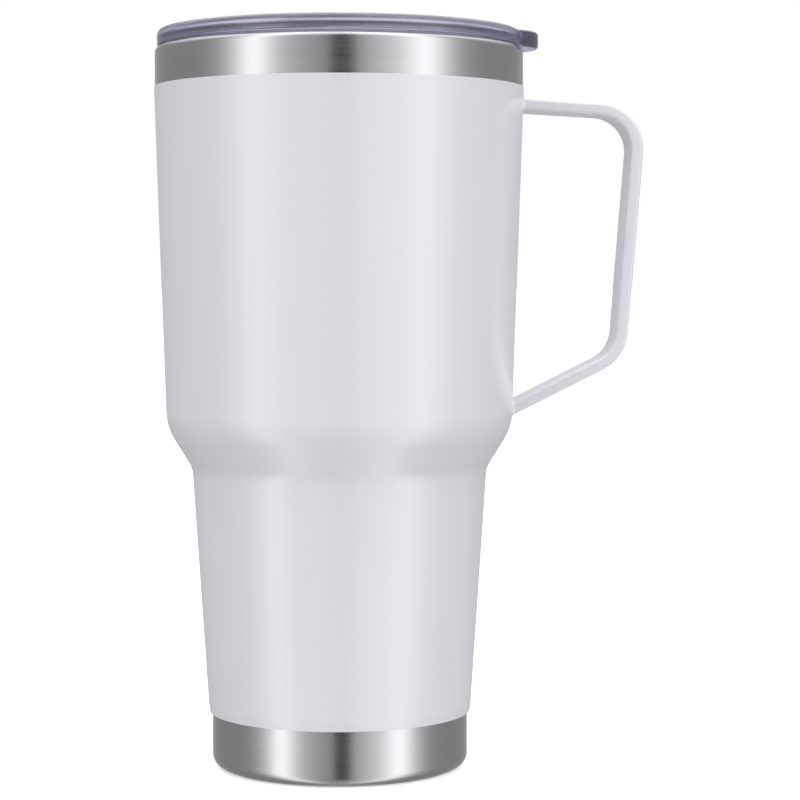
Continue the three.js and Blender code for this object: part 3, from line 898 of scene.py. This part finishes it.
def gasket():
    """The silicone ring with two lips that reach for the liner."""
    inner = GROOVE_RADIUS + SEAM_GAP / 2
    face = inner + GASKET_WALL
    bottom, top = GROOVE_BOTTOM + SEAM_GAP / 2, GROOVE_TOP - SEAM_GAP / 2
    reach = radius_at(LINER_SIDE, bottom) - GASKET_CLEARANCE
    pitch = (top - bottom) / 2
    outline = [corner(inner, (bottom + top) / 2), corner(inner, bottom, 0.3), corner(face, bottom, 0.25)]
    for low in (bottom, bottom + pitch):
        outline += [
            corner(face, low + pitch * 0.25, 0.1),
            corner(reach, low + pitch * 0.55, 0.15),
            corner(reach, low + pitch * 0.75, 0.15),
            corner(face, low + pitch * 0.8, 0.1),
        ]
    outline += [corner(face, top, 0.25), corner(inner, top, 0.3), corner(inner, (bottom + top) / 2)]
    ring = turned("gasket", rounded(outline)[:-1])
    placed(ring, "lid", SILICONE, "silicone", "lid_gasket")


# ---- slider ----
GRIP_FILLET = 3.0
POCKET_GAP = 0.1  # between the seal's side and the pocket that holds it
GATE_BEVEL = 0.3
SEAL_BEVEL = 0.2
RIB_FACETS = 24


def grip_ribs(top, count=5, pitch=2.2, length=11.0, width=0.9, height=0.6):
    """Ribs across the thumb grip, set out in a row by a node tree."""
    tree = bpy.data.node_groups.new("grip ribs", "GeometryNodeTree")
    tree.interface.new_socket("Geometry", in_out="OUTPUT", socket_type="NodeSocketGeometry")
    sockets = []
    first = ((GRIP_FRONT + GRIP_BACK - (count - 1) * pitch) / 2 * MM, 0.0, top * MM)
    for label, kind, value in (
        ("Ribs", "NodeSocketInt", count),
        ("Pitch", "NodeSocketFloat", pitch * MM),
        ("Length", "NodeSocketFloat", length * MM),
        ("Width", "NodeSocketFloat", width * MM),
        ("Height", "NodeSocketFloat", height * MM),
        ("First", "NodeSocketVector", first),
        ("Finish", "NodeSocketMaterial", PLASTIC),
    ):
        socket = tree.interface.new_socket(label, in_out="INPUT", socket_type=kind)
        sockets.append((socket.identifier, value))

    def node(kind, settings=None, links=None):
        made = tree.nodes.new(kind)
        for key, value in (settings or {}).items():
            setattr(made, key, value)
        for key, value in (links or {}).items():
            if isinstance(value, bpy.types.NodeSocket):
                tree.links.new(value, made.inputs[key])
            else:
                made.inputs[key].default_value = value
        return made.outputs

    given = node("NodeGroupInput")
    step = node("ShaderNodeCombineXYZ", None, {"X": given["Pitch"]})["Vector"]
    places = {"Count": given["Ribs"], "Start Location": given["First"], "Offset": step}
    row = node("GeometryNodeMeshLine", {"mode": "OFFSET"}, places)["Mesh"]
    half = node("ShaderNodeMath", {"operation": "MULTIPLY"}, {0: given["Length"], 1: 0.5})[0]
    back = node("ShaderNodeMath", {"operation": "MULTIPLY"}, {0: half, 1: -1.0})[0]
    start = node("ShaderNodeCombineXYZ", None, {"Y": back})["Vector"]
    end = node("ShaderNodeCombineXYZ", None, {"Y": half})["Vector"]
    line = node("GeometryNodeCurvePrimitiveLine", None, {"Start": start, "End": end})["Curve"]
    unit_circle = {"Resolution": RIB_FACETS, "Radius": 1.0}
    oval = node("GeometryNodeCurvePrimitiveCircle", {"mode": "RADIUS"}, unit_circle)
    half_width = node("ShaderNodeMath", {"operation": "MULTIPLY"}, {0: given["Width"], 1: 0.5})[0]
    size = node("ShaderNodeCombineXYZ", None, {"X": half_width, "Y": given["Height"], "Z": 1.0})["Vector"]
    section = node("GeometryNodeTransform", None, {"Geometry": oval["Curve"], "Scale": size})["Geometry"]
    swept = {"Curve": line, "Profile Curve": section, "Fill Caps": True}
    bar = node("GeometryNodeCurveToMesh", None, swept)["Mesh"]
    spread = node("GeometryNodeInstanceOnPoints", None, {"Points": row, "Instance": bar})["Instances"]
    real = node("GeometryNodeRealizeInstances", None, {"Geometry": spread})["Geometry"]
    moulded = node("GeometryNodeSetMaterial", None, {"Geometry": real, "Material": given["Finish"]})
    node("NodeGroupOutput", None, {"Geometry": moulded["Geometry"]})

    holder = bpy.data.objects.new("grip_ribs", bpy.data.meshes.new("grip_ribs"))
    bpy.context.scene.collection.objects.link(holder)
    maker = holder.modifiers.new("ribs", "NODES")
    maker.node_group = tree
    for identifier, value in sockets:
        maker[identifier] = value
    return baked(holder)


def seal_outline(grow=0.0):
    """The seal's outline, which covers the drink opening all round, or the same one grown."""
    return rounded_rectangle(
        -OPENING_FAR - SEAL_MARGIN * 0.3 - grow,
        -OPENING_NEAR + SEAL_MARGIN + grow,
        OPENING_HALF + SEAL_MARGIN + grow,
        OPENING_FILLET + SEAL_MARGIN * 0.5 + grow,
    )


def slider():
    """The gate that slides over the drink opening, with its ribbed grip and the seal under it."""
    flange_half = RAIL_SPACING / 2 - SLIDER_GAP
    deck_half = RAIL_SPACING / 2 - RAIL_LIP - DECK_CLEARANCE
    front = -SLIDER_FRONT - 2 * OVERSHOOT
    grip_top = DECK_TOP + GRIP_RISE
    under = SLIDER_UNDERSIDE - OVERSHOOT
    seal_bottom = FLOOR_TOP + SEAL_LIFT
    seal_top = seal_bottom + SEAL_THICKNESS
    flanges = block_outline(front, SLIDER_BACK, -flange_half, flange_half)
    deck = block_outline(front, SLIDER_BACK, -deck_half, deck_half)
    grip = rounded_rectangle(GRIP_FRONT, GRIP_BACK, GRIP_HALF, GRIP_FILLET)
    gate = finished("slider_gate", plate_mesh(flanges, SLIDER_UNDERSIDE, SLIDER_TOP), weighted=False)
    shape(
        gate,
        [
            ("UNION", plate_mesh(deck, SLIDER_TOP - OVERLAP, DECK_TOP)),
            ("UNION", plate_mesh(grip, DECK_TOP - OVERLAP, grip_top)),
            ("INTERSECT", plate_mesh(circle(0, SLIDER_FRONT), under, grip_top + OVERSHOOT)),
            ("DIFFERENCE", plate_mesh(seal_outline(POCKET_GAP), under, seal_top + SKIN_GAP)),
        ],
    )
    dress(gate, SHARP_MOULDED, GATE_BEVEL)
    baked(gate)
    combine(gate, "UNION", grip_ribs(grip_top))
    dress(gate, SHARP_MOULDED)
    placed(gate, "slider", PLASTIC, "smoke_plastic", "slider")
    pad = finished("seal_pad", plate_mesh(seal_outline(), seal_bottom, seal_top), bevel=SEAL_BEVEL)
    placed(pad, "slider", SILICONE, "silicone", "slider_seal")


# ---- the solids that stay as they are, inside the walls ----
def inner_parts():
    finishes = {
        "radiation_foil": crumpled_foil(),
        "getter_holder": LINER_STEEL,
        "getter_pellet": sintered(),
        "port_seal": solder_glass(),
        "liner_weld": weld_bead(),
        "base_weld": weld_bead(),
    }
    for name, material in finishes.items():
        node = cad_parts[name]
        node.data.materials.clear()
        node.data.materials.append(material)


# ---- stage ----
CAMERA_DISTANCE = 0.68
CAMERA_HEIGHT = 0.136
CAMERA_AZIMUTH = -2.0  # degrees round the cup from straight in front
CAMERA_PAN = 1.42  # degrees to the right of the cup's axis
CAMERA_TILT = 2.85  # degrees down
LENS = 109.7
SENSOR = 36.0

FLOOR_REACH = 30.0
FLOOR_SIDES = 64
FLOOR_GLOW = 0.4
CARD_DISTANCE = 1.2  # the black card in front is what the dark stripe in the steel reflects
CARD_WIDTH = 0.29
CARD_FOOT = -1.5
CARD_TOP = 1.6

# Soft lights round the cup: azimuth and spread in degrees from the camera's side to the right, and radiance.
# The one behind the cup is given on both sides of the turn, where the azimuth jumps.
SOFT_LIGHTS = (
    (-54.0, 15.0, 0.83),
    (-54.0, 7.0, 0.75),
    (-22.0, 14.0, 0.13),
    (28.0, 14.0, 0.34),
    (55.0, 8.0, 0.68),
    (55.0, 16.0, 0.83),
    (180.0, 15.0, 0.2),
    (-180.0, 15.0, 0.2),
)
ROOM = 0.33  # radiance all round, between the soft lights
CEILING = 1.2  # radiance that the ceiling adds straight overhead
CEILING_EDGE = 0.5  # height on a sphere round the cup where the ceiling starts
REAR = 3.0  # radiance of the high light behind the cup, which no side seen from the front reflects
REAR_EDGE = 0.3
SHADE = 0.2  # share of the light that is lost straight below
SHADE_EDGE = -0.4


def shown(name, data):
    made = bpy.data.objects.new(name, data)
    bpy.context.scene.collection.objects.link(made)
    return made


def camera():
    made = shown("camera", bpy.data.cameras.new("camera"))
    azimuth = math.radians(CAMERA_AZIMUTH)
    back = Vector((math.sin(azimuth), -math.cos(azimuth), 0))
    made.location = back * CAMERA_DISTANCE + Vector((0, 0, CAMERA_HEIGHT))
    tilt, pan = math.radians(CAMERA_TILT), math.radians(CAMERA_PAN)
    forward = Matrix.Rotation(-pan, 3, "Z") @ -back
    forward = Vector((forward.x * math.cos(tilt), forward.y * math.cos(tilt), -math.sin(tilt)))
    made.rotation_mode = "QUATERNION"
    made.rotation_quaternion = forward.to_track_quat("-Z", "Y")
    made.data.lens, made.data.sensor_width = LENS, SENSOR
    made.data.clip_start, made.data.clip_end = 0.01, 100.0
    bpy.context.scene.camera = made


def stage_face(name, corners, material, hidden_from):
    """One flat face of the stage, which throws no shadow and no diffuse light on the cup."""
    bm = bmesh.new()
    bm.faces.new([bm.verts.new(p) for p in corners])
    mesh = bpy.data.meshes.new(name)
    bm.to_mesh(mesh)
    bm.free()
    mesh.materials.append(material)
    made = shown(name, mesh)
    for ray in ("diffuse", "shadow", hidden_from):
        setattr(made, "visible_" + ray, False)


def front_card():
    """A black upright card in front of the cup, which shows only in the cup's reflections."""
    black = Finish("black card")
    black.surface(Base_Color=(0.01, 0.01, 0.011, 1.0), Roughness=1.0)
    outline = block_outline(-CARD_WIDTH / 2, CARD_WIDTH / 2, CARD_FOOT, CARD_TOP)
    stage_face("front_card", [(x, -CARD_DISTANCE, z) for x, z in outline], black.material, "camera")


def floor():
    """A pale round floor that glows a little, and that is clear from below."""
    finish = Finish("pale floor")
    cloud = finish.noise(3.0, 2.0)
    finish.surface(
        Base_Color=finish.blend(cloud, (0.90, 0.90, 0.90), (0.92, 0.92, 0.92)),
        Roughness=0.9,
        Emission_Color=(1.0, 1.0, 1.0, 1.0),
        Emission_Strength=FLOOR_GLOW,
        Alpha=1.0 - finish.node("ShaderNodeNewGeometry")["Backfacing"],
    )
    outline = circle(0, FLOOR_REACH, FLOOR_SIDES)
    stage_face("floor", [(x, y, 0) for x, y in outline], finish.material, "glossy")


def beyond(height, edge):
    """How far a height on the unit sphere is past an edge, from 0 there to 1 at the pole on that side."""
    pole = math.copysign(1.0, edge)
    return ((height - edge) / (pole - edge)).at_least(0.0)


def surroundings():
    """White behind the cup, and round it a dim room with tall soft lights, which the steel reflects."""
    world = bpy.data.worlds.new("studio")
    bpy.context.scene.world = world
    room = Shader(world, "ShaderNodeOutputWorld")
    toward = room.node("ShaderNodeSeparateXYZ", None, {0: room.node("ShaderNodeTexCoord")["Generated"]})
    right, behind, height = toward["X"], toward["Y"], toward["Z"]
    azimuth = right.math("ARCTAN2", right, behind * -1.0)
    strength = ROOM
    for centre, spread, radiance in SOFT_LIGHTS:
        away = (azimuth - math.radians(centre + CAMERA_AZIMUTH)) / math.radians(spread)
        glow = away.math("EXPONENT", away**2.0 * -0.5)
        strength = glow * radiance + strength
    strength += beyond(height, CEILING_EDGE) * CEILING
    strength += beyond(height, REAR_EDGE) * behind.at_least(0.0) * REAR
    strength *= 1.0 - beyond(height, SHADE_EDGE) * SHADE

    around = room.node("ShaderNodeBackground", None, {"Color": (0.98, 0.98, 1.0, 1.0), "Strength": strength})
    white = room.node("ShaderNodeBackground", None, {"Color": (1.0, 1.0, 1.0, 1.0)})
    ray = room.node("ShaderNodeLightPath")
    straight = ray["Is Camera Ray"].at_least(ray["Is Transmission Ray"])
    mixed = {0: straight, 1: around["Background"], 2: white["Background"]}
    room.ends_in(room.node("ShaderNodeMixShader", None, mixed)["Shader"])
    bpy.context.scene.view_settings.view_transform = "Standard"


def stage():
    floor()
    front_card()
    surroundings()


camera()
outer_shell()
inner_liner()
coat_sleeve()
base()
handle()
handle_welds()
lid_shell()
gasket()
slider()
inner_parts()
stage()
